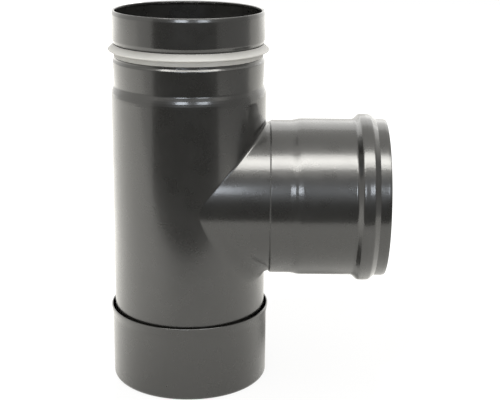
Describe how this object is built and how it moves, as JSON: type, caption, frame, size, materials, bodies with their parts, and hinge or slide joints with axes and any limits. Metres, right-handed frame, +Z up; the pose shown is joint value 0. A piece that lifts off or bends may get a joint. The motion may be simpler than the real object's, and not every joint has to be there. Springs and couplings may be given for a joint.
{
  "type": "pellet stove flue tee with cap",
  "caption": "Black steel flue tee for a pellet stove: male spigot with lip seal on top, side branch with female socket, and a push-on bottom cap for inspection and condensate.",
  "frame": {"origin": "centre of the cap's flat underside", "axes": "+Z up along the upright tube, +X along the side branch, towards its mouth"},
  "size_m": [0.1485, 0.0904, 0.2024],
  "materials": {
    "black_enamel": "satin",
    "grey_silicone": "satin"
  },
  "bodies": {
    "tee": {"main_tube": "black_enamel", "branch_collar": "black_enamel", "branch_socket": "black_enamel", "seam_weld": "black_enamel", "top_seal": "grey_silicone", "bottom_seal": "grey_silicone"},
    "cap": {"bottom_cap": "black_enamel"}
  },
  "joints": [
    {"name": "cap_pull", "type": "slide", "parent": "tee", "child": "cap", "axis": [0, 0, -1], "range_m": [0, 0.05]}
  ]
}
